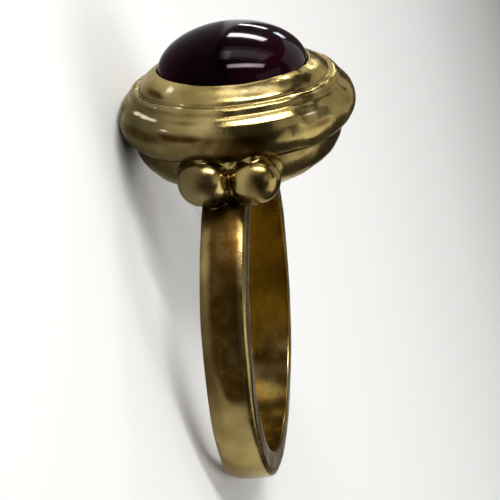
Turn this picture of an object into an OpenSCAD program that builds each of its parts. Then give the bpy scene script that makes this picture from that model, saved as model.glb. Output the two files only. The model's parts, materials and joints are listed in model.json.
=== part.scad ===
// Bezel set ring: a gold band, a round stepped head and a garnet cabochon.
// Each piece is drawn upright, with the finger along Y and the stone up Z, about the centre of the
// finger hole. lay_down() then lays the ring on its side, as it rests on a table.

/* [Band] */
// Inner diameter of the band
finger_hole_d = 17; // [16.5:0.1:18]
// Width of the band along the finger
band_w = 2.45; // [2:0.05:3]
// Thickness of the band at its two edges
band_edge_t = 1.2; // [1:0.1:1.6]
// Rise of the domed outer face above the edges
band_crown = 0.3; // [0.2:0.05:0.5]

/* [Stone] */
// Diameter of the cabochon at its girdle
stone_d = 8.32; // [8.2:0.02:8.5]
// Height of the dome above the girdle
dome_h = 2.4; // [2.2:0.05:2.6]
// Height of the straight part under the girdle
girdle_h = 0.9; // [0.7:0.1:1]
// Space between the stone and its seat
stone_gap = 0.05; // [0.03:0.01:0.1]

/* [Head] */
// Height of the lip above the finger hole
lip_h = 6.2; // [6.1:0.05:6.3]
// How far the lip rises over the girdle of the stone
lip_cover = 0.25; // [0.2:0.01:0.4]
// Thickness of the lip at its top
lip_t = 0.19; // [0.15:0.01:0.3]
// Height of the sloping collar
collar_h = 0.68; // [0.6:0.02:0.76]
// Diameter of the collar at its foot
collar_foot_d = 10.56; // [10.4:0.02:10.7]
// Diameter of the round wire that is laid on the moulding
wire_d = 0.68; // [0.6:0.02:0.72]
// How far the wire stands proud of the moulding
wire_rise = 0.15; // [0.1:0.01:0.2]
// Diameter of the big rounded moulding at its widest
bulge_d = 13.2; // [13:0.05:13.4]
// Radius of the moulding's round section
bulge_r = 1.58; // [1.54:0.02:1.62]
// Drop from the lip to the middle of the moulding
bulge_drop = 2.4; // [2.36:0.02:2.44]
// Drop from the lip to the lower edge of the moulding
skirt_drop = 3.7; // [3.6:0.05:3.75]
// Diameter of the lower bowl where it leaves the moulding
bowl_d = 11.6; // [11.3:0.1:11.7]
// Depth of the lower bowl, before the finger hole cuts it
bowl_depth = 3.2; // [3.1:0.1:3.4]
// Wall of the hollow head
head_wall = 0.8; // [0.6:0.1:1]
// How far the head sits off the middle of the band, along the finger
head_offset = 0.41; // [0:0.01:0.5]

/* [Granules] */
// Diameter of each granule
granule_d = 2.5; // [2.3:0.1:2.6]
// Distance between the middles of the two granules of a pair
granule_pitch = 2.88; // [2.8:0.02:3]
// Distance of each granule from the axis of the finger hole
granule_reach = 11.35; // [11.2:0.05:11.4]
// Angle of each pair above the middle of the band
granule_angle = 60.5; // [59.5:0.5:62]
// How far each pair sits off the middle of the band, along the finger
granule_offset = 0.51; // [0.4:0.01:0.6]
// Diameter of the solder between the two granules
solder_d = 1.5; // [1.3:0.1:1.8]
// Diameter of the solder that ties each granule to the band
foot_d = 1.9; // [1.7:0.1:2]

/* [Hidden] */
$fn = 128;

gold = [0.80, 0.66, 0.30];
garnet = [0.20, 0.02, 0.07];

hole_r = finger_hole_d / 2;
edge_r = hole_r + band_edge_t;
outer_r = edge_r + band_crown;
// Depth by which shapes that are joined or cut run into each other
overlap = 0.1;
// Radius of the arc that domes the outer face
crown_r = (pow(band_w / 2, 2) + pow(band_crown, 2)) / (2 * band_crown);

lip_z = hole_r + lip_h;
collar_z = lip_z - collar_h;
// The neck under the collar, seen only as the groove
neck_inset = 0.15;
neck_h = 0.4;
neck_r = collar_foot_d / 2 - neck_inset;
neck_z = collar_z - neck_h;
bulge_c = bulge_d / 2 - bulge_r;
bulge_z = lip_z - bulge_drop;
wire_angle = 69;
wire_reach = bulge_r + wire_rise - wire_d / 2;
wire_c = bulge_c + wire_reach * cos(wire_angle);
wire_z = bulge_z + wire_reach * sin(wire_angle);
skirt_z = lip_z - skirt_drop;

girdle_z = lip_z - lip_cover;
seat_z = girdle_z - girdle_h - stone_gap;
// Radius of the stone at the height of the lip
mouth_r = stone_d / 2 * sqrt(1 - pow(lip_cover / dome_h, 2));
lip_r = mouth_r + stone_gap + lip_t;
// The ledge that carries the stone, and the hollow under it
ledge_t = 0.4;
ledge_r = 3.5;
hollow_r = 4.8;

// How far the solder sits inside the granules, and inside the edges of the band
foot_drop = 0.75;
foot_inset = 0.2;
solder_drop = 0.2;
foot_reach = granule_reach - foot_drop;
foot_pitch = band_w - 2 * foot_inset;
solder_reach = granule_reach - solder_drop;

// The ring lies on the moulding and on the lower edge of the band's far side
contact_y = bulge_c - head_offset - band_w / 2;
contact_z = bulge_z + edge_r;
lean = atan2(contact_y, contact_z) + asin(bulge_r / norm([contact_y, contact_z]));
rest_z = band_w / 2 * cos(lean) + edge_r * sin(lean);
// Reach of the dome one way along the table, and of the band the other way
dome_reach = girdle_z * cos(lean) - head_offset * sin(lean)
  + norm([stone_d / 2 * sin(lean), dome_h * cos(lean)]);
band_reach = (outer_r - crown_r) * cos(lean) + crown_r;
middle_y = (dome_reach - band_reach) / 2;

module lay_down() {
  translate([0, middle_y, rest_z]) rotate([90 - lean, 0, 0]) children();
}

module off_centre(offset) {
  translate([0, offset, 0]) children();
}

module across_finger(r, length) {
  rotate([90, 0, 0]) cylinder(r = r, h = length, center = true);
}

module both_shoulders() {
  children();
  mirror([1, 0, 0]) children();
}

module both_sides(pitch) {
  translate([0, pitch / 2, 0]) children();
  translate([0, -pitch / 2, 0]) children();
}

module band() {
  rotate([90, 0, 0]) rotate_extrude() intersection() {
    translate([hole_r - overlap, -band_w / 2]) square([band_edge_t + band_crown + 2 * overlap, band_w]);
    translate([outer_r - crown_r, 0]) circle(r = crown_r);
  }
}

// Half section of the stone, grown all round
module stone_outline(grow) {
  intersection() {
    translate([0, girdle_z]) scale([stone_d / 2 + grow, dome_h + grow]) circle(r = 1);
    translate([0, girdle_z]) square([stone_d, dome_h * 2]);
  }
  translate([0, girdle_z - girdle_h - grow]) square([stone_d / 2 + grow, girdle_h + grow]);
}

module collar_outline() {
  polygon([
    [0, neck_z],
    [neck_r, neck_z],
    [neck_r, collar_z],
    [collar_foot_d / 2, collar_z],
    [lip_r, lip_z],
    [0, lip_z]
  ]);
}

module moulding_outline() {
  intersection() {
    union() {
      translate([bulge_c, bulge_z]) circle(r = bulge_r);
      translate([0, skirt_z]) square([bulge_c, neck_z + overlap - skirt_z]);
    }
    translate([0, skirt_z]) square([bulge_d, skirt_drop]);
  }
}

// The lower bowl is half an ellipse, shrunk all round by a wall
module bowl_outline(wall) {
  intersection() {
    translate([0, skirt_z]) scale([bowl_d / 2 - wall, bowl_depth - wall]) circle(r = 1);
    translate([0, skirt_z - bowl_depth]) square([bulge_d, bowl_depth]);
  }
}

module head() {
  rotate_extrude() {
    collar_outline();
    translate([wire_c, wire_z]) circle(d = wire_d);
    moulding_outline();
    bowl_outline(0);
  }
}

// The hollow under the stone follows the bowl and stops short of the finger hole
module hollow() {
  difference() {
    off_centre(head_offset) rotate_extrude() {
      bowl_outline(head_wall);
      translate([0, skirt_z - overlap]) square([hollow_r, seat_z - ledge_t - skirt_z + overlap]);
    }
    across_finger(hole_r + head_wall, bulge_d);
  }
}

module stone_seat() {
  rotate_extrude() stone_outline(stone_gap);
  translate([0, 0, seat_z - 2 * ledge_t]) cylinder(r = ledge_r, h = 3 * ledge_t);
}

module granules() {
  both_shoulders() rotate([0, -granule_angle, 0]) {
    both_sides(granule_pitch) translate([granule_reach, 0, 0]) sphere(d = granule_d);
    both_sides(foot_pitch) translate([foot_reach, 0, 0]) sphere(d = foot_d);
    translate([solder_reach, 0, 0]) sphere(d = solder_d);
  }
}

module ring_body() {
  color(gold) lay_down() difference() {
    union() {
      band();
      off_centre(head_offset) head();
      off_centre(granule_offset) granules();
    }
    across_finger(hole_r, bulge_d);
    hollow();
    off_centre(head_offset) stone_seat();
  }
}

module stone() {
  color(garnet) lay_down() off_centre(head_offset) rotate_extrude() stone_outline(0);
}

ring_body();
stone();
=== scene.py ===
# Bezel set ring: yellow gold with a dark garnet cabochon, lying on its side on a pale table.
import json
import math

import bmesh
import bpy
from mathutils import Matrix, Vector, noise


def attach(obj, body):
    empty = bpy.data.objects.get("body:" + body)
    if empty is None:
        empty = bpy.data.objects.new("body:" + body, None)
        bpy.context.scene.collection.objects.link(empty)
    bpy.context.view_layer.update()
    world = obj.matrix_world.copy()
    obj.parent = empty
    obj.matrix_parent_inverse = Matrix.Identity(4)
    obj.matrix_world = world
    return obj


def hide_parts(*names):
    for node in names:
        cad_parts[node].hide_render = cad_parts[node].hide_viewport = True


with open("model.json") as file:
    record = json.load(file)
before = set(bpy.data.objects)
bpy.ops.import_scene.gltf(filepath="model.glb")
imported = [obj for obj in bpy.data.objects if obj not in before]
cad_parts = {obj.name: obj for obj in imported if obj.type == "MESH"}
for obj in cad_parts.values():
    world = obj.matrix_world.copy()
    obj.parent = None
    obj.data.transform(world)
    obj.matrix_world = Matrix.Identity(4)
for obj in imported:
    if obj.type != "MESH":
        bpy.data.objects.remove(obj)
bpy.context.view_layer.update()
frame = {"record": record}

# The ring's own frame has the finger along Y, the stone up Z, the near shoulder at +X, and the
# centre of the finger hole at the origin. It is in millimetres.
MM = 0.001
mount = frame["record"]["mounts"][0]
FINGER = Vector(mount["axis"]).normalized()
ACROSS = Vector((1, 0, 0))
STONE_UP = ACROSS.cross(FINGER)
TURN = Matrix((ACROSS, FINGER, STONE_UP)).transposed().to_4x4()
TO_ROW = Matrix.Translation(Vector(mount["pos_m"])) @ TURN @ Matrix.Scale(MM, 4)

# Sizes in the ring's frame. WIRE_C and BULGE_C are (distance from the head's axis, height).
HOLE_R = mount["dims"]["r_mm"]
# Distances from the finger's axis over which the wall of the hole gives way to the outside
HOLE_SKIN = (HOLE_R + 0.02, HOLE_R + 0.35)
BAND_W = 2.5
EDGE_R = HOLE_R + 1.2
OUTER_R = EDGE_R + 0.3
LIP_Z = HOLE_R + 6.2
COLLAR_Z = LIP_Z - 0.68
COLLAR_R = 5.28
WIRE_R = 0.34
WIRE_C = (5.54, 13.63)
BULGE_R = 1.58
BULGE_C = (5.02, LIP_Z - 2.4)
SKIRT_Z = LIP_Z - 3.7
BOWL_EDGE_R = 5.8
BOWL_DEPTH = 3.2
GIRDLE_Z = LIP_Z - 0.25
STONE_R = 4.16
DOME_H = 2.4
# The hand-made ring has its head and granules off the middle of the band
HEAD_Y = 0.41
GRANULE_Y = 0.51
GRANULE_HALF_PITCH = 1.44
GRANULE_REACH = 11.35
GRANULE_ANGLE = math.radians(60.5)


def arc(centre, radius, start, end, count):
    """Points on an arc, angles in degrees, both ends included."""
    step = (end - start) / (count - 1)
    angles = [math.radians(start + step * i) for i in range(count)]
    return [(centre[0] + radius * math.cos(a), centre[1] + radius * math.sin(a)) for a in angles]


def line(start, end, count, bow=0.0):
    """Points from start up to but not including end, bowed to the left by bow."""
    dx, dz = end[0] - start[0], end[1] - start[1]
    length = math.hypot(dx, dz)
    points = []
    for i in range(count):
        t = i / count
        side = 4 * bow * t * (1 - t) / length
        points.append((start[0] + dx * t - dz * side, start[1] + dz * t + dx * side))
    return points


def blend(a, b, amount):
    """A colour or a point between a and b."""
    return tuple(x + (y - x) * amount for x, y in zip(a, b))


def soften(points, step, passes):
    """The same outline in even steps, with its corners rounded off."""
    lengths = [0.0]
    for a, b in zip(points, points[1:]):
        lengths.append(lengths[-1] + math.dist(a, b))
    count = round(lengths[-1] / step)
    even = []
    k = 0
    for i in range(count + 1):
        at = lengths[-1] * i / count
        while k < len(points) - 2 and lengths[k + 1] < at:
            k += 1
        even.append(blend(points[k], points[k + 1], (at - lengths[k]) / (lengths[k + 1] - lengths[k])))
    for _ in range(passes):
        trios = zip(even, even[1:], even[2:])
        inner = [((a[0] + 2 * b[0] + c[0]) / 4, (a[1] + 2 * b[1] + c[1]) / 4) for a, b, c in trios]
        even = [even[0]] + inner + [even[-1]]
    return even


def full_turn(count):
    """Even angles all the way round, in radians."""
    return [2 * math.pi * j / count for j in range(count)]


def turned(outline, turns):
    """Rows of points where a half section of (distance, height) is turned round the Z axis."""
    return [[(r * math.cos(t), r * math.sin(t), z) for t in turns] for r, z in outline]


def add_object(name, data):
    """A new object in the scene."""
    thing = bpy.data.objects.new(name, data)
    bpy.context.scene.collection.objects.link(thing)
    return thing


def skin(name, rows):
    """A piece made of quads between rows of points, each row a closed ring."""
    across = len(rows[0])
    points = [point for row in rows for point in row]
    faces = []
    for i in range(len(rows) - 1):
        here = i * across
        there = here + across
        for j in range(across):
            k = (j + 1) % across
            faces.append((here + j, here + k, there + k, there + j))
    mesh = bpy.data.meshes.new(name)
    mesh.from_pydata(points, [], faces)
    mesh.validate()
    return add_object(name, mesh)


def pushed(mesh, push):
    """A copy of a mesh with each vertex moved along its normal by push(point) millimetres."""
    shape = bmesh.new()
    shape.from_mesh(mesh)
    bmesh.ops.recalc_face_normals(shape, faces=shape.faces)
    shape.normal_update()
    moves = [vertex.normal * push(vertex.co) for vertex in shape.verts]
    for vertex, move in zip(shape.verts, moves):
        vertex.co += move
    return shape


def displace(piece, push):
    """Moves each vertex of a piece along its normal by push(point) millimetres."""
    shape = pushed(piece.data, push)
    shape.to_mesh(piece.data)
    shape.free()


def place(piece, material):
    """Turns a piece from the ring's frame into the row frame, smooths it and lets it ride."""
    piece.data.transform(TO_ROW)
    for face in piece.data.polygons:
        face.use_smooth = True
    piece.data.materials.clear()
    piece.data.materials.append(material)
    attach(piece, "root")


def paint(piece, wear, painted_light):
    """Stores wear(point), from -1 at a painted highlight to 1 at tarnish and painted shade, and the
    painted light tint(point) on each vertex.
    """
    wears = piece.data.attributes.new("wear", "FLOAT", "POINT")
    light_tints = piece.data.attributes.new("painted_light", "FLOAT_COLOR", "POINT")
    for vertex, value, colour in zip(piece.data.vertices, wears.data, light_tints.data):
        value.value = max(-1.0, min(1.0, wear(vertex.co)))
        colour.color = (*painted_light(vertex.co), 1)


def ease(value, low, high):
    """0 up to low, 1 from high on, and even between them."""
    return min(1.0, max(0.0, (value - low) / (high - low)))


def below(value, top, fade):
    """0 down to top, 1 from fade under it, and even between them."""
    return ease(top - value, 0, fade)


def near(distance, width):
    """1 at no distance, falling off to 0 over a few widths."""
    return math.exp(-((distance / width) ** 2))


def near_turn(point, angle, half_width):
    """1 at an angle round the head's axis, falling off to both sides. Angles are in degrees."""
    turn = math.degrees(math.atan2(point.y, point.x))
    return near(abs((turn - angle + 180) % 360 - 180), half_width)


def near_height(point, height, half_height):
    """1 at a height, falling off above and below it."""
    return near(point.z - height, half_height)


def from_hole(point):
    """0 on the wall of the finger hole, 1 a little way out from it."""
    return ease(math.hypot(point.x, point.z), *HOLE_SKIN)


def uneven(point, size, amount, seed):
    """Gentle unevenness of the given wavelength and height."""
    return amount * noise.noise(point / size + Vector((seed, 2 * seed, -seed)))


# Painted light on the gold by place: none, a painted warm reflection inside the ring, and painted
# shade where a part faces the table
PLAIN = (1.0, 1.0, 1.0)
INSIDE_PAINTED_REFLECTION = (0.62, 0.42, 0.07)
HEAD_SHADE = (0.255, 0.285, 0.37)
BAND_SHADE = (0.28, 0.26, 0.25)
GRANULE_SHADE = (0.34, 0.385, 0.55)

# Dents in the big moulding: angle round the head, height, radius and depth
DENTS = [
    (44, 12.95, 0.60, 0.09),
    (58, 13.2, 0.80, 0.06),
    (72, 12.9, 0.75, 0.08),
    (84, 13.3, 0.55, 0.07),
    (33, 12.3, 0.60, 0.07),
    (-30, 12.95, 0.35, 0.06),
    (-47, 12.6, 0.60, 0.08),
    (-70, 12.9, 0.55, 0.07),
    (150, 12.4, 0.60, 0.06),
    (215, 12.0, 0.50, 0.05),
]
# Creases of the head that hold tarnish: distance from its axis, height, width and strength
CREASES = [
    (5.22, 13.92, 0.12, 0.45),
    (5.90, 13.62, 0.14, 0.4),
    (5.86, 10.98, 0.22, 0.8),
    (4.30, 14.66, 0.05, 0.5),
]
# Dark smudges, of tarnish and of painted dark reflections: angle round the head, height, half width in
# degrees, half height and strength
SMUDGES_AND_DARK_REFLECTIONS = [
    (-50, 14.14, 14, 0.17, 1.1),
    (-52, 12.32, 26, 0.34, 1.15),
    (-20, 12.50, 20, 0.28, 1.00),
    (-74, 12.95, 7, 0.20, 0.65),
    (-20, 13.25, 10, 0.12, 0.55),
    (50, 12.32, 14, 0.26, 0.75),
    (58, 14.10, 8, 0.12, 0.40),
    (78, 12.70, 10, 0.25, 0.40),
    (140, 12.60, 20, 0.25, 0.40),
    (-150, 13.00, 16, 0.20, 0.40),
]
# Painted highlights, pale places given like the smudges
PAINTED_HIGHLIGHTS = [
    (-47, 13.22, 11, 0.08, 1.0),
    (-29, 12.83, 4, 0.07, 0.9),
    (-38, 14.45, 3.5, 0.20, 0.9),
    (17, 14.45, 22, 0.22, 0.35),
    (-24, 13.93, 4, 0.08, 0.9),
    (-42, 13.74, 6, 0.04, 0.7),
    (41, 13.94, 3, 0.06, 0.7),
    (57, 13.80, 5, 0.06, 0.7),
    (46, 12.98, 5, 0.07, 0.9),
    (82, 13.35, 2.5, 0.15, 0.5),
]
# Wear that a full painted highlight takes off, and the share of it that is free of scratches
PAINTED_HIGHLIGHT_DEPTH = 1.4
PAINTED_HIGHLIGHT_EVEN = 0.9
# Painted dark reflection, a brown patch under the front: angle round the head, half width in degrees,
# top, fade and strength
FRONT_DARK_REFLECTION = (6, 26, 13.1, 0.7, 0.95)
# Tarnish of the lower bowl, its top and fade, the same where it clears again, and how far it does
BOWL_TARNISH = 0.55
BOWL_TOP = (SKIRT_Z + 0.1, 0.3)
BOWL_CLEAR_TOP = (9.9, 0.8)
BOWL_CLEARING = 0.8
# Painted shade on the side of the head that faces the table: angle round the head, half width in
# degrees, top and fade
HEAD_LOW = (-62, 48, 14.75, 1.2)


def dents(point):
    """Movement of the moulding's surface at its dents, negative because they go in."""
    push = 0.0
    for angle, height, radius, depth in DENTS:
        turn = math.radians(angle)
        reach = BULGE_C[0] + math.sqrt(BULGE_R ** 2 - (height - BULGE_C[1]) ** 2)
        middle = Vector((reach * math.cos(turn), reach * math.sin(turn), height))
        push -= depth * near((point - middle).length, radius)
    return push


def mark_share(point, angle, height, half_width, half_height):
    """1 in the middle of a soft round mark on the head, falling off to 0 around it."""
    return near_turn(point, angle, half_width) * near_height(point, height, half_height)


def head_wear_and_painted_light(point):
    """Dark creases, a dull lower bowl, a painted dark reflection under the front, tarnish and painted
    dark reflections as smudges, and a few painted highlights.
    """
    clearing = BOWL_CLEARING * below(point.z, *BOWL_CLEAR_TOP)
    amount = BOWL_TARNISH * below(point.z, *BOWL_TOP) * (1 - clearing)
    r = math.hypot(point.x, point.y)
    for crease_r, crease_z, width, strength in CREASES:
        amount = max(amount, strength * near(math.hypot(r - crease_r, point.z - crease_z), width))
    angle, half_width, top, fade, strength = FRONT_DARK_REFLECTION
    front = near_turn(point, angle, half_width) * below(point.z, top, fade)
    amount = max(amount, strength * front * from_hole(point))
    for *mark, strength in SMUDGES_AND_DARK_REFLECTIONS:
        amount = max(amount, strength * mark_share(point, *mark))
    amount += uneven(point, size=0.9, amount=0.2, seed=6.0)
    highlight_strength = PAINTED_HIGHLIGHT_DEPTH * (PAINTED_HIGHLIGHT_EVEN + uneven(point, size=0.35, amount=0.5, seed=5.0))
    for *mark, strength in PAINTED_HIGHLIGHTS:
        amount -= highlight_strength * strength * mark_share(point, *mark)
    return amount


def head_painted_light(point):
    """Painted shade on the side that faces the table, and on the back the painted warm reflection of
    the inside of the band.
    """
    angle, half_width, top, fade = HEAD_LOW
    outside = from_hole(point)
    low = near_turn(point, angle, half_width) * below(point.z, top, fade) * outside
    return blend(blend(INSIDE_PAINTED_REFLECTION, PLAIN, outside), HEAD_SHADE, low)


# Corners of the head's half section, from the lip's inner wall out and down to the skirt edge
LIP_FOOT = (4.22, LIP_Z - 0.45)
LIP_ROUND = 0.09
LIP_C = (4.25, LIP_Z - LIP_ROUND)
COLLAR_TOP = (4.40, LIP_Z - 0.07)
COLLAR_FOOT = (COLLAR_R, COLLAR_Z)
COLLAR_BOW = 0.07
COLLAR_EDGE = (COLLAR_R, COLLAR_Z - 0.02)
GROOVE = (COLLAR_R - 0.04, COLLAR_Z - 0.12)
UNDER_WIRE = (BULGE_C[0] + 0.93, BULGE_C[1] + 1.2)
# The moulding is nearly straight for a short way under the wire
FACET_TOP = (6.10, 13.45)
FACET_FOOT = (6.46, 13.06)
SKIRT_EDGE = (BOWL_EDGE_R + 0.02, SKIRT_Z - 0.01)
# Where the arcs of the lip, the wire and the moulding start and end, in degrees
LIP_ARC = (180, 40)
WIRE_ARC = (135, 5)
BULGE_ARC = (26, -55.4)
# Spacing of the section's points, and how many times its corners are worn
SECTION_STEP = 0.035
SECTION_PASSES = 12


def head_section():
    """Half section of the head as (distance from its axis, height)."""
    lip = line(LIP_FOOT, (LIP_C[0] - LIP_ROUND, LIP_C[1]), count=5)
    lip += arc(LIP_C, LIP_ROUND, *LIP_ARC, count=9)
    rest = [lip[-1]]
    rest += line(COLLAR_TOP, COLLAR_FOOT, count=26, bow=COLLAR_BOW)
    rest += [COLLAR_EDGE, GROOVE]
    rest += arc(WIRE_C, WIRE_R, *WIRE_ARC, count=24)
    rest += [UNDER_WIRE]
    rest += line(FACET_TOP, FACET_FOOT, count=16)
    rest += arc(BULGE_C, BULGE_R, *BULGE_ARC, count=60)
    rest += [SKIRT_EDGE]
    return lip[:-1] + soften(rest, SECTION_STEP, SECTION_PASSES)


# Points round the head, and rows down its bowl and over its back
HEAD_TURNS = 320
BOWL_ROWS = 34
BACK_ROWS = 8
# The last row of the back stops this share of a row short of the middle
BACK_TIP = 0.01
# How far the head's back stands inside the finger hole, so that the band's ends stay behind it
BACK_RISE = 0.02
# Halvings of the search for the edge of the finger hole on the bowl
HALVINGS = 40
# The head hangs a little towards the table, between its lip and the finger hole
SAG = 0.27
SAG_ANGLE = -90
SAG_HALF_WIDTH = 60
# Heights over which the hanging sets in under the lip, as top and fade, and dies out at the hole
SAG_TOP = (LIP_Z - 0.05, 0.75)
SAG_FOOT = (HOLE_R, HOLE_R + 0.6)
# The moulding is roughest about this angle round the head
ROUGH_ANGLE = 62
ROUGH_HALF_WIDTH = 26


def bowl_point(slope, turn):
    """A point of the half-ellipsoid under the moulding, at a slope from its edge and a turn."""
    r = BOWL_EDGE_R * math.cos(slope)
    return Vector((r * math.cos(turn), r * math.sin(turn), SKIRT_Z - BOWL_DEPTH * math.sin(slope)))


def bowl_cut(turn):
    """The slope at which the bowl meets the finger hole, at one turn round the head."""
    outside, inside = 0.0, math.pi / 2
    for _ in range(HALVINGS):
        slope = (outside + inside) / 2
        point = bowl_point(slope, turn)
        if math.hypot(point.x, point.z) > HOLE_R:
            outside = slope
        else:
            inside = slope
    return inside


def head_push(point):
    """Hand-worked waves, roughness and dents of the head, none of them in the finger hole."""
    waves = uneven(point, size=2.2, amount=0.06, seed=1.0)
    rough = uneven(point, size=0.8, amount=0.014, seed=4.0)
    rough *= 1 + 2 * near_turn(point, ROUGH_ANGLE, ROUGH_HALF_WIDTH)
    return (waves + rough + dents(point)) * from_hole(point)


def sag(point):
    """How far the head hangs at a point."""
    side = near_turn(point, SAG_ANGLE, SAG_HALF_WIDTH)
    return SAG * side * below(point.z, *SAG_TOP) * ease(point.z, *SAG_FOOT)


def make_head():
    """The lip, collar, wire and moulding, the bowl down to the finger hole, and the back there."""
    turns = full_turn(HEAD_TURNS)
    rows = turned(head_section(), turns)
    cuts = [bowl_cut(t) for t in turns]
    for i in range(BOWL_ROWS + 1):
        rows.append([bowl_point(cut * i / BOWL_ROWS, t) for t, cut in zip(turns, cuts)])
    for i in range(1, BACK_ROWS + 1):
        inward = 1 - i / (BACK_ROWS + BACK_TIP)
        row = []
        for t, cut in zip(turns, cuts):
            r = BOWL_EDGE_R * math.cos(cut) * inward
            x = r * math.cos(t)
            row.append((x, r * math.sin(t), math.sqrt((HOLE_R - BACK_RISE) ** 2 - x ** 2)))
        rows.append(row)
    head = skin("bezel_head", rows)
    displace(head, head_push)
    for vertex in head.data.vertices:
        vertex.co.z -= sag(vertex.co)
    paint(head, head_wear_and_painted_light, head_painted_light)
    head.data.transform(Matrix.Translation((0, HEAD_Y, 0)))
    return head


# Sections along the band
BAND_TURNS = 420
# The band ends inside the head, this far from its middle on each side
BAND_START = math.radians(14)
# Above 2, the outer face is flatter in its middle and rounder at its edges than an ellipse
CROWN_POWER = 2.6
CROWN_STEPS = 24
# Share of the width that the crown takes before the rounded corners begin
CROWN_SHARE = 0.93
OUTER_CORNER = 0.14
INNER_CORNER = 0.08
# Ends of the straight sides, and how far the straight inner wall stops short of them
SIDE_TOP = EDGE_R - 0.25
SIDE_FOOT = HOLE_R + 0.1
WALL_INSET = 0.12


def band_section():
    """Section of the band as (distance from the finger's axis, place along the finger)."""
    half = BAND_W / 2
    points = []
    for i in range(CROWN_STEPS + 1):
        t = CROWN_SHARE * (2 * i / CROWN_STEPS - 1)
        rise = (1 - abs(t) ** CROWN_POWER) ** (1 / CROWN_POWER)
        points.append((EDGE_R + (OUTER_R - EDGE_R) * rise, half * t))
    outer = (EDGE_R - OUTER_CORNER, half - OUTER_CORNER)
    inner = (HOLE_R + INNER_CORNER, half - INNER_CORNER)
    points += arc(outer, OUTER_CORNER, 60, 90, count=4)
    points += line((SIDE_TOP, half), (SIDE_FOOT, half), count=4)
    points += arc(inner, INNER_CORNER, 90, 180, count=5)
    points += line((HOLE_R, half - WALL_INSET), (HOLE_R, WALL_INSET - half), count=8)
    points += arc((inner[0], -inner[1]), INNER_CORNER, 180, 270, count=5)
    points += line((SIDE_FOOT, -half), (SIDE_TOP, -half), count=4)
    points += arc((outer[0], -outer[1]), OUTER_CORNER, 270, 300, count=4)
    return points


# Darkening of the band, where 1 is quite brown: tarnish inside and by the head, painted shade and a
# painted dark reflection outside
STRIPE_PAINTED_REFLECTION = 0.93
FACE_PAINTED_SHADE = 0.35
CORNER_PAINTED_SHADE = 0.55
HEAD_END_TARNISH = 0.8
INSIDE_TARNISH = 0.25
INSIDE_PATCH_TARNISH = 0.3
# The stripe's place along the finger: its edges, how much its low edge rises, and how they fade
STRIPE_LOW = -0.85
STRIPE_RISE = 0.75
STRIPE_HIGH = 1.05
STRIPE_FADE = (-0.2, 0.3)
# Heights where the stripe ends and its low edge rises, and where the painted shade on the face fades
# out
STRIPE_END = (-2.0, -0.9)
STRIPE_RISE_START = 2.0
STRIPE_RISE_FADE = 3.3
FACE_SHADE_END = (-4.2, -2.0)
# Height where the band goes into the head
HEAD_END = (6.8, 7.6)
# The upper corner with painted shade, as a place along the finger and a distance from its axis
CORNER_ALONG = (1.05, 1.2)
CORNER_OUT = (EDGE_R - 0.3, EDGE_R - 0.1)
# Marks inside the band, as height and half height: a dull patch, a painted highlight and a paler
# stretch of painted highlight
INSIDE_PATCH = (-2.0, 1.5)
INSIDE_PAINTED_HIGHLIGHT = (-6.75, 0.65)
INSIDE_PAINTED_GLEAM = (-6.6, 1.3)
# Wear that the painted highlight takes off, and where along the finger the paler painted highlight
# sets in
INSIDE_HIGHLIGHT_DEPTH = 0.85
INSIDE_GLEAM_ALONG = (-1.2, 0.5)
# Painted shade on the outer face where it faces the table: height and half height, top and fade along
BAND_LOW = (1.5, 4.0)
BAND_LOW_ALONG = (-0.3, 0.4)


def stripe(point):
    """1 in the painted dark reflection, a brown stripe down the outer face, which narrows towards its
    end.
    """
    low = STRIPE_LOW + STRIPE_RISE * below(point.z, STRIPE_RISE_START, STRIPE_RISE_FADE) ** 2
    return (
        ease(point.y - low, *STRIPE_FADE)
        * ease(STRIPE_HIGH - point.y, *STRIPE_FADE)
        * ease(point.z, *STRIPE_END)
    )


def band_wear_and_painted_light(point):
    """Dull beside the head and inside, painted shade on the outer face and its corner, a painted dark
    reflection in the stripe, and a painted highlight in one place inside.
    """
    outside = from_hole(point)
    inside = 1 - outside
    reach = math.hypot(point.x, point.z)
    corner = ease(point.y, *CORNER_ALONG) * ease(reach, *CORNER_OUT)
    amount = max(
        (INSIDE_TARNISH + INSIDE_PATCH_TARNISH * near_height(point, *INSIDE_PATCH)) * inside,
        FACE_PAINTED_SHADE * ease(point.z, *FACE_SHADE_END) * outside,
        STRIPE_PAINTED_REFLECTION * stripe(point) * outside,
        HEAD_END_TARNISH * (1 + outside) / 2 * ease(point.z, *HEAD_END),
        CORNER_PAINTED_SHADE * corner,
    )
    amount -= INSIDE_HIGHLIGHT_DEPTH * near_height(point, *INSIDE_PAINTED_HIGHLIGHT) * inside
    return amount + uneven(point, size=1.4, amount=0.16, seed=8.0)


def band_painted_light(point):
    """Painted warm reflection inside, where the gold reflects itself, left out in a paler stretch that
    is painted highlight; painted shade on the edge that faces the table.
    """
    outside = from_hole(point)
    low = below(point.y, *BAND_LOW_ALONG) * near_height(point, *BAND_LOW) * outside
    pale = near_height(point, *INSIDE_PAINTED_GLEAM) * ease(point.y, *INSIDE_GLEAM_ALONG)
    return blend(blend(INSIDE_PAINTED_REFLECTION, PLAIN, max(outside, pale)), BAND_SHADE, low)


def band_push(point):
    """Gentle waves and fine roughness, none of them in the finger hole."""
    waves = uneven(point, size=3.0, amount=0.03, seed=7.0)
    rough = uneven(point, size=0.8, amount=0.008, seed=2.0)
    return (waves + rough) * from_hole(point)


def make_band():
    """The band, all the way round but for the part inside the head."""
    section = band_section()
    sweep = 2 * math.pi - 2 * BAND_START
    rows = []
    for j in range(BAND_TURNS + 1):
        t = math.pi / 2 + BAND_START + sweep * j / BAND_TURNS
        rows.append([(r * math.cos(t), y, r * math.sin(t)) for r, y in section])
    band = skin("band", rows)
    displace(band, band_push)
    paint(band, band_wear_and_painted_light, band_painted_light)
    return band


# Points round the stone, and rows up its dome
STONE_TURNS = 192
DOME_ROWS = 48
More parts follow.
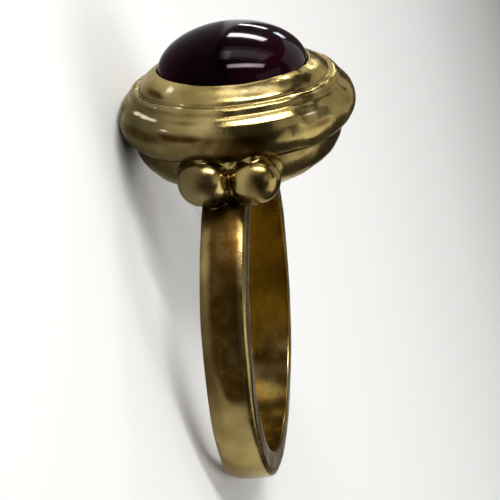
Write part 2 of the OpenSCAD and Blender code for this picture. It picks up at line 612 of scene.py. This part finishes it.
# The last row of the dome stops this share of a row short of the top
DOME_TIP = 0.02
# How far the stone is drawn down inside the lip
STONE_DEPTH = 0.5


def make_stone():
    """The cabochon, a half-ellipsoid on a short straight girdle."""
    outline = [(STONE_R, GIRDLE_Z - STONE_DEPTH)]
    for i in range(DOME_ROWS + 1):
        slope = math.pi / 2 * i / (DOME_ROWS + DOME_TIP)
        outline.append((STONE_R * math.cos(slope), GIRDLE_Z + DOME_H * math.sin(slope)))
    stone = skin("cabochon", turned(outline, full_turn(STONE_TURNS)))
    displace(stone, lambda point: uneven(point, size=4.0, amount=0.02, seed=9.0))
    stone.data.transform(Matrix.Translation((0, HEAD_Y, 0)))
    return stone


# Radius of the lower and the upper granule of a pair
GRANULE_RADII = {-1: 1.37, 1: 1.32}
# Each granule is two balls, the second this much nearer the other granule, so that the two touch
GRANULE_LEAN = 0.13
# Solder at the feet of the granules: drop towards the finger's axis, half pitch and radius
FOOT_SOLDER = (0.75, 1.0, 0.95)
# Solder against the bowl, by each granule: place across, place along from its middle, height, radius
BOWL_SOLDER = [
    (5.5, -0.15, 11.0, 0.68),
    (5.0, 0.65, 10.25, 0.78),
]
# Solder between the two granules: drop and radius, and one more against the bowl as above
MIDDLE_SOLDER = (0.5, 0.75)
BACK_SOLDER = (5.15, 0.0, 10.9, 0.75)
BALL_DETAIL = 5
# How far the soldered patch lies under the surfaces that it is soldered to
INSET = 0.04
# Fineness and smoothing of the patch, and how far it reaches from the granules' middles
PATCH_VOXEL = 0.07
PATCH_SMOOTHING = 6
PATCH_REACH = 2.3
# Tarnish between the granules: strength, half width, and its top and fade out from the finger's axis
GAP_TARNISH = 1.0
GAP_HALF_WIDTH = 0.13
GAP_TOP = (GRANULE_REACH + 0.9, 0.5)
# Tarnish at their feet: strength, top and fade
FOOT_TARNISH = 0.45
FOOT_TOP = (GRANULE_REACH - 0.7, 0.5)
# Painted dark reflection on their faces: strength, place from the granule's middle, and size
FACE_PAINTED_REFLECTION = 0.85
FACE_MIDDLE = Vector((1.25, 0.15, 0.2))
FACE_SIZE = 0.8
# Shade of the granules where they face the table: strength, top and fade along the finger
GRANULE_DARKENING = 0.8
GRANULE_LOW = (GRANULE_Y - 0.4, 1.4)


def at_shoulder(side, reach, y):
    """A point on one shoulder, at a distance from the finger's axis and a place along it."""
    return Vector((side * reach * math.cos(GRANULE_ANGLE), y, reach * math.sin(GRANULE_ANGLE)))


def granule_middle(side, half):
    """The middle of one granule: side 1 is the near shoulder, and half 1 the upper granule."""
    return at_shoulder(side, GRANULE_REACH, GRANULE_Y + half * GRANULE_HALF_PITCH)


def granule_wear_and_painted_reflection(point):
    """Dark between the granules and at their feet, and a painted dark reflection on their faces."""
    reach = math.hypot(point.x, point.z)
    gap = near(point.y - GRANULE_Y, GAP_HALF_WIDTH) * below(reach, *GAP_TOP)
    foot = below(reach, *FOOT_TOP)
    near_side = Vector((abs(point.x), point.y, point.z))
    faces = [granule_middle(1, half) + FACE_MIDDLE for half in GRANULE_RADII]
    face_reflection = max(near((near_side - face).length, FACE_SIZE) for face in faces)
    amount = max(GAP_TARNISH * gap, FOOT_TARNISH * foot, FACE_PAINTED_REFLECTION * face_reflection)
    return amount + uneven(point, size=0.7, amount=0.25, seed=3.0)


def granule_painted_shade(point):
    """Painted shade below, like the head beside them."""
    return blend(PLAIN, GRANULE_SHADE, GRANULE_DARKENING * below(point.y, *GRANULE_LOW))


def ball(shape, centre, radius):
    """Adds a ball to a shape."""
    move = Matrix.Translation(centre)
    bmesh.ops.create_icosphere(shape, subdivisions=BALL_DETAIL, radius=radius, matrix=move)


def add_inner(shape, mesh):
    """Adds a copy of a mesh to a shape, a little under its surface."""
    inner = pushed(mesh, lambda point: -INSET)
    copy = bpy.data.meshes.new("inner")
    inner.to_mesh(copy)
    inner.free()
    shape.from_mesh(copy)
    bpy.data.meshes.remove(copy)


def add_granules(shape, side):
    """Adds the granules of one shoulder and their solder."""
    foot_drop, foot_half_pitch, foot_radius = FOOT_SOLDER
    for half, radius in GRANULE_RADII.items():
        middle = granule_middle(side, half)
        ball(shape, middle, radius)
        ball(shape, middle - Vector((0, GRANULE_LEAN * half, 0)), radius)
        foot_y = GRANULE_Y + half * foot_half_pitch
        ball(shape, at_shoulder(side, GRANULE_REACH - foot_drop, foot_y), foot_radius)
        for across, along, height, size in BOWL_SOLDER:
            ball(shape, Vector((side * across, middle.y + along * half, height)), size)
    drop, size = MIDDLE_SOLDER
    ball(shape, at_shoulder(side, GRANULE_REACH - drop, GRANULE_Y), size)
    across, along, height, size = BACK_SOLDER
    ball(shape, Vector((side * across, GRANULE_Y + along, height)), size)


def bake(piece):
    """Applies a piece's modifiers to its mesh."""
    bpy.context.view_layer.update()
    graph = bpy.context.evaluated_depsgraph_get()
    done = bpy.data.meshes.new_from_object(piece.evaluated_get(graph))
    piece.modifiers.clear()
    piece.data = done


def keep_near(piece, middles, reach):
    """Deletes what is further than reach from every one of the middles."""
    shape = bmesh.new()
    shape.from_mesh(piece.data)
    far = [v for v in shape.verts if min((v.co - middle).length for middle in middles) > reach]
    bmesh.ops.delete(shape, geom=far, context="VERTS")
    shape.to_mesh(piece.data)
    shape.free()


def make_granules(head, band):
    """Granules and their solder, melted together with the metal that they sit on."""
    sides = (1, -1)
    shape = bmesh.new()
    add_inner(shape, head.data)
    add_inner(shape, band.data)
    for side in sides:
        add_granules(shape, side)
    mesh = bpy.data.meshes.new("granules")
    shape.to_mesh(mesh)
    shape.free()
    piece = add_object("granules", mesh)
    remesh = piece.modifiers.new("melt", "REMESH")
    remesh.mode = "VOXEL"
    remesh.voxel_size = PATCH_VOXEL
    smooth = piece.modifiers.new("smooth", "SMOOTH")
    smooth.factor = 0.5
    smooth.iterations = PATCH_SMOOTHING
    bake(piece)
    middles = [granule_middle(side, half) for side in sides for half in GRANULE_RADII]
    keep_near(piece, middles, PATCH_REACH)
    paint(piece, granule_wear_and_painted_reflection, granule_painted_shade)
    return piece


def new_material(name):
    """A material with its nodes, links and shader."""
    material = bpy.data.materials.new(name)
    material.use_nodes = True
    nodes = material.node_tree.nodes
    return material, nodes, material.node_tree.links, nodes["Principled BSDF"]


def place_node(nodes):
    """The place on the object, in metres in the row frame."""
    return nodes.new("ShaderNodeTexCoord").outputs["Object"]


def noise_node(nodes, links, where, scale, detail):
    """Cloudy noise."""
    node = nodes.new("ShaderNodeTexNoise")
    node.inputs["Scale"].default_value = scale
    node.inputs["Detail"].default_value = detail
    links.new(where, node.inputs["Vector"])
    return node.outputs["Fac"]


def ramp_node(nodes, links, source, first, last):
    """A value turned into a colour, between two pairs of a value and a colour."""
    node = nodes.new("ShaderNodeValToRGB")
    for stop, (position, colour) in zip(node.color_ramp.elements, (first, last)):
        stop.position = position
        stop.color = (*colour, 1)
    links.new(source, node.inputs["Fac"])
    return node.outputs["Color"]


def stretch_node(nodes, links, source, span, onto):
    """A value stretched smoothly from one range onto another."""
    node = nodes.new("ShaderNodeMapRange")
    node.interpolation_type = "SMOOTHSTEP"
    node.inputs["From Min"].default_value, node.inputs["From Max"].default_value = span
    node.inputs["To Min"].default_value, node.inputs["To Max"].default_value = onto
    links.new(source, node.inputs["Value"])
    return node.outputs["Result"]


# A Mix node has sockets of the same names for numbers and for colours, so these are its colours
MIX_FACTOR = 0
MIX_A = 6
MIX_B = 7
MIX_RESULT = 2


def mix_node(nodes, links, mode, factor, a, b):
    """One colour mixed with another; each may be a socket or a constant."""
    node = nodes.new("ShaderNodeMix")
    node.data_type = "RGBA"
    node.blend_type = mode
    for number, value in ((MIX_FACTOR, factor), (MIX_A, a), (MIX_B, b)):
        if isinstance(value, (float, tuple)):
            node.inputs[number].default_value = value
        else:
            links.new(value, node.inputs[number])
    return node.outputs[MIX_RESULT]


def sum_node(nodes, links, a, b):
    """The sum of two values."""
    node = nodes.new("ShaderNodeMath")
    node.operation = "ADD"
    links.new(a, node.inputs[0])
    links.new(b, node.inputs[1])
    return node.outputs["Value"]


def painted_node(nodes, name):
    """What was painted on the vertices under a name."""
    node = nodes.new("ShaderNodeAttribute")
    node.attribute_name = name
    return node


# Depth of the finest relief, in metres
RELIEF = 0.00002


def add_relief(nodes, links, shader, height, strength):
    """Gives a shader fine relief."""
    bump = nodes.new("ShaderNodeBump")
    bump.inputs["Strength"].default_value = strength
    bump.inputs["Distance"].default_value = RELIEF
    links.new(height, bump.inputs["Height"])
    links.new(bump.outputs["Normal"], shader.inputs["Normal"])


GOLD_BRIGHT = (0.41, 0.315, 0.125)
GOLD_DEEP = (0.22, 0.16, 0.055)
# The brown of tarnish, also used for painted shade and painted dark reflections, and the pale of
# painted highlights
GOLD_TARNISH_AND_SHADE = (0.036, 0.0165, 0.002)
GOLD_PAINTED_HIGHLIGHT = (0.85, 0.78, 0.54)
# Tint of the metal seen at a flat angle
GOLD_EDGE = (0.85, 0.78, 0.62)
# Range of the polished metal's roughness, and what full tarnish and painted shade add to it
GOLD_ROUGHNESS = (0.17, 0.30)
DARKENING_ROUGHNESS = 0.12
# Stretch and turn of the noise that makes the scratches
SCRATCH_STRETCH = (1, 0.12, 1)
SCRATCH_TURN = (0.4, 0.9, 0.3)


def gold_material():
    """Gold with wear: cloudy olive yellow tinted by painted light, brown at tarnish and painted shade,
    pale at painted highlights, scratches and small pits.
    """
    material, nodes, links, shader = new_material("gold")
    where = place_node(nodes)
    clouds = noise_node(nodes, links, where, scale=450, detail=4)
    clean = ramp_node(nodes, links, clouds, (0.35, GOLD_DEEP), (0.65, GOLD_BRIGHT))

    specks = noise_node(nodes, links, where, scale=1800, detail=5)
    rough_edge = stretch_node(nodes, links, specks, span=(0.3, 0.7), onto=(-0.07, 0.07))
    wear_and_light = sum_node(nodes, links, painted_node(nodes, "wear").outputs["Fac"], rough_edge)
    tarnish_and_shade = stretch_node(nodes, links, wear_and_light, span=(0.0, 1.05), onto=(0.0, 1.0))
    painted_highlight = stretch_node(nodes, links, wear_and_light, span=(-0.3, -1.0), onto=(0.0, 1.0))
    painted_light = painted_node(nodes, "painted_light").outputs["Color"]
    colour = mix_node(nodes, links, "MULTIPLY", 1.0, clean, painted_light)
    colour = mix_node(nodes, links, "MIX", tarnish_and_shade, colour, (*GOLD_TARNISH_AND_SHADE, 1))
    colour = mix_node(nodes, links, "MIX", painted_highlight, colour, (*GOLD_PAINTED_HIGHLIGHT, 1))
    links.new(colour, shader.inputs["Base Color"])
    shader.inputs["Metallic"].default_value = 1.0
    shader.inputs["Specular Tint"].default_value = (*GOLD_EDGE, 1)

    polish = noise_node(nodes, links, where, scale=900, detail=5)
    shine = stretch_node(nodes, links, polish, span=(0.35, 0.7), onto=GOLD_ROUGHNESS)
    dull = stretch_node(nodes, links, wear_and_light, span=(0.0, 1.0), onto=(0.0, DARKENING_ROUGHNESS))
    links.new(sum_node(nodes, links, shine, dull), shader.inputs["Roughness"])

    drawn_out = nodes.new("ShaderNodeMapping")
    drawn_out.inputs["Scale"].default_value = SCRATCH_STRETCH
    drawn_out.inputs["Rotation"].default_value = SCRATCH_TURN
    links.new(where, drawn_out.inputs["Vector"])
    scratches = noise_node(nodes, links, drawn_out.outputs["Vector"], scale=9000, detail=2)
    pits = noise_node(nodes, links, where, scale=2600, detail=3)
    add_relief(nodes, links, shader, sum_node(nodes, links, scratches, pits), strength=0.25)
    return material


GARNET_DEEP = (0.0008, 0.0002, 0.0005)
GARNET_LIT = (0.0075, 0.0005, 0.0028)
GARNET_SHEEN = (1.0, 0.78, 0.86)
# Heights in metres over which the stone's reflections fade towards the table as painted shade, and how
# strong they are at each
SHINE_FADE_HEIGHTS = (0.0071, 0.0077)
SHINE_FADE = (0.03, 0.45)


def garnet_material():
    """Nearly black purple-red stone, highly polished, its reflections faded near the table as painted
    shade.
    """
    material, nodes, links, shader = new_material("garnet")
    where = place_node(nodes)
    clouds = noise_node(nodes, links, where, scale=300, detail=2)
    colour = ramp_node(nodes, links, clouds, (0.3, GARNET_DEEP), (0.7, GARNET_LIT))
    links.new(colour, shader.inputs["Base Color"])
    parts = nodes.new("ShaderNodeSeparateXYZ")
    links.new(where, parts.inputs["Vector"])
    polish = stretch_node(nodes, links, parts.outputs["Z"], span=SHINE_FADE_HEIGHTS, onto=SHINE_FADE)
    links.new(polish, shader.inputs["Specular IOR Level"])
    shader.inputs["Specular Tint"].default_value = (*GARNET_SHEEN, 1)
    shader.inputs["Roughness"].default_value = 0.08
    shader.inputs["IOR"].default_value = 1.25
    wear = noise_node(nodes, links, where, scale=1500, detail=4)
    add_relief(nodes, links, shader, wear, strength=0.03)
    return material


TABLE_DIM = (0.78, 0.78, 0.77)
TABLE_LIGHT = (0.81, 0.81, 0.80)
TABLE_HALF = 1.0


def table_material():
    """A plain pale table, very slightly cloudy."""
    material, nodes, links, shader = new_material("pale_table")
    clouds = noise_node(nodes, links, place_node(nodes), scale=12, detail=3)
    colour = ramp_node(nodes, links, clouds, (0.3, TABLE_DIM), (0.7, TABLE_LIGHT))
    links.new(colour, shader.inputs["Base Color"])
    shader.inputs["Roughness"].default_value = 0.85
    shader.inputs["Specular IOR Level"].default_value = 0.2
    return material


def make_floor():
    """The table's face, a square at height 0."""
    corners = [(x * TABLE_HALF, y * TABLE_HALF, 0) for x, y in ((-1, -1), (1, -1), (1, 1), (-1, 1))]
    mesh = bpy.data.meshes.new("table")
    mesh.from_pydata(corners, [], [(0, 1, 2, 3)])
    mesh.materials.append(table_material())
    add_object("table", mesh)


ROOM = (0.085, 0.078, 0.066)


def make_world():
    """A dim room round the table."""
    world = bpy.data.worlds.new("studio")
    bpy.context.scene.world = world
    world.use_nodes = True
    background = world.node_tree.nodes["Background"]
    background.inputs["Color"].default_value = (*ROOM, 1)
    background.inputs["Strength"].default_value = 1.0


# The photograph's view of the ring, as angles in the ring's frame and real sizes
VIEW_TURN = math.radians(8.82)
VIEW_RISE = math.radians(22.455)
VIEW_ROLL = math.radians(5.68)
VIEW_DISTANCE = 100.0
VIEW_LOOK = Vector((0, 0.363, 3.48))
PHOTO_SIDE = 500
PIXELS_PER_MM = 17.41
SENSOR = 36.0
# Nearest and furthest that the camera sees, in metres
CLIP = (0.001, 10)


def camera_axes():
    """Right, up and back of the camera in the ring's frame."""
    back = Vector((
        math.cos(VIEW_RISE) * math.cos(VIEW_TURN),
        math.cos(VIEW_RISE) * math.sin(VIEW_TURN),
        math.sin(VIEW_RISE),
    ))
    level = Vector((-math.sin(VIEW_TURN), math.cos(VIEW_TURN), 0))
    right = level * math.cos(VIEW_ROLL) - back.cross(level) * math.sin(VIEW_ROLL)
    return right, back.cross(right), back


def make_camera():
    """A camera that sees the ring as the photograph does."""
    data = bpy.data.cameras.new("camera")
    data.sensor_width = SENSOR
    data.lens = SENSOR * PIXELS_PER_MM * VIEW_DISTANCE / PHOTO_SIDE
    data.clip_start, data.clip_end = CLIP
    right, up, back = camera_axes()
    turn = TO_ROW.to_3x3().normalized()
    axes = Matrix((turn @ right, turn @ up, turn @ back)).transposed().to_4x4()
    camera = add_object("camera", data)
    camera.matrix_world = Matrix.Translation(TO_ROW @ (VIEW_LOOK + back * VIEW_DISTANCE)) @ axes
    bpy.context.scene.camera = camera


TABLE_MIDDLE = (0, 0, 0)
RING_MIDDLE = (0, 0, 0.005)
WHITE = (1, 1, 1)
DAYLIGHT = (0.8, 0.9, 1.0)
# How far a light spreads, in degrees
SOFT = 180
NARROW = 90
# Lights in metres in the row frame: name, place, aim, width and height, brightness, colour, spread
LIGHTS = [
    ("main", (0.045, 0.25, 0.36), TABLE_MIDDLE, (0.35, 0.35), 2.0, WHITE, SOFT),
    ("back", (-0.30, 0.0, 0.38), TABLE_MIDDLE, (0.45, 0.45), 0.7, WHITE, SOFT),
    ("top", (0.16, -0.02, 0.36), TABLE_MIDDLE, (0.2, 0.3), 0.7, WHITE, SOFT),
    ("soft", (-0.07, -0.40, 0.20), RING_MIDDLE, (0.12, 0.34), 1.55, WHITE, SOFT),
    ("low", (-0.045, -0.40, 0.045), RING_MIDDLE, (0.13, 0.07), 3.2, WHITE, SOFT),
    ("soft_wide", (-0.08, -0.44, 0.22), RING_MIDDLE, (0.26, 0.42), 0.6, WHITE, SOFT),
    ("strip_key", (0.12, -0.30, 0.20), RING_MIDDLE, (0.065, 0.30), 34.0, WHITE, NARROW),
    ("strip_back", (-0.25, -0.24, 0.082), RING_MIDDLE, (0.04, 0.13), 30.0, WHITE, NARROW),
    ("strip_far", (-0.38, -0.14, 0.025), RING_MIDDLE, (0.014, 0.09), 20.0, WHITE, NARROW),
    ("window", (-0.35, -0.13, 0.125), RING_MIDDLE, (0.03, 0.05), 12.0, DAYLIGHT, SOFT),
]


def make_light(name, stand, aim, size, radiance, colour, spread):
    """An area light with a given brightness along its axis, whatever its size and spread."""
    data = bpy.data.lights.new(name, "AREA")
    data.shape = "RECTANGLE"
    data.size, data.size_y = size
    half = math.radians(spread) / 2
    data.energy = radiance * math.pi * size[0] * size[1] * (1 - half / math.tan(half))
    data.color = colour
    data.spread = 2 * half
    back = (Vector(stand) - Vector(aim)).normalized()
    side = Vector((-back.y, back.x, 0)).normalized()
    light = add_object(name, data)
    light.location = stand
    light.rotation_mode = "QUATERNION"
    light.rotation_quaternion = Matrix((side, back.cross(side), back)).transposed().to_quaternion()


gold = gold_material()
garnet = garnet_material()

head = make_head()
band = make_band()
granules = make_granules(head, band)
stone = make_stone()
for piece in (head, band, granules):
    place(piece, gold)
    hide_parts("ring_body")
place(stone, garnet)
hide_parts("stone")

make_floor()
make_world()
make_camera()
for light in LIGHTS:
    make_light(*light)

bpy.context.scene.view_settings.view_transform = "Standard"
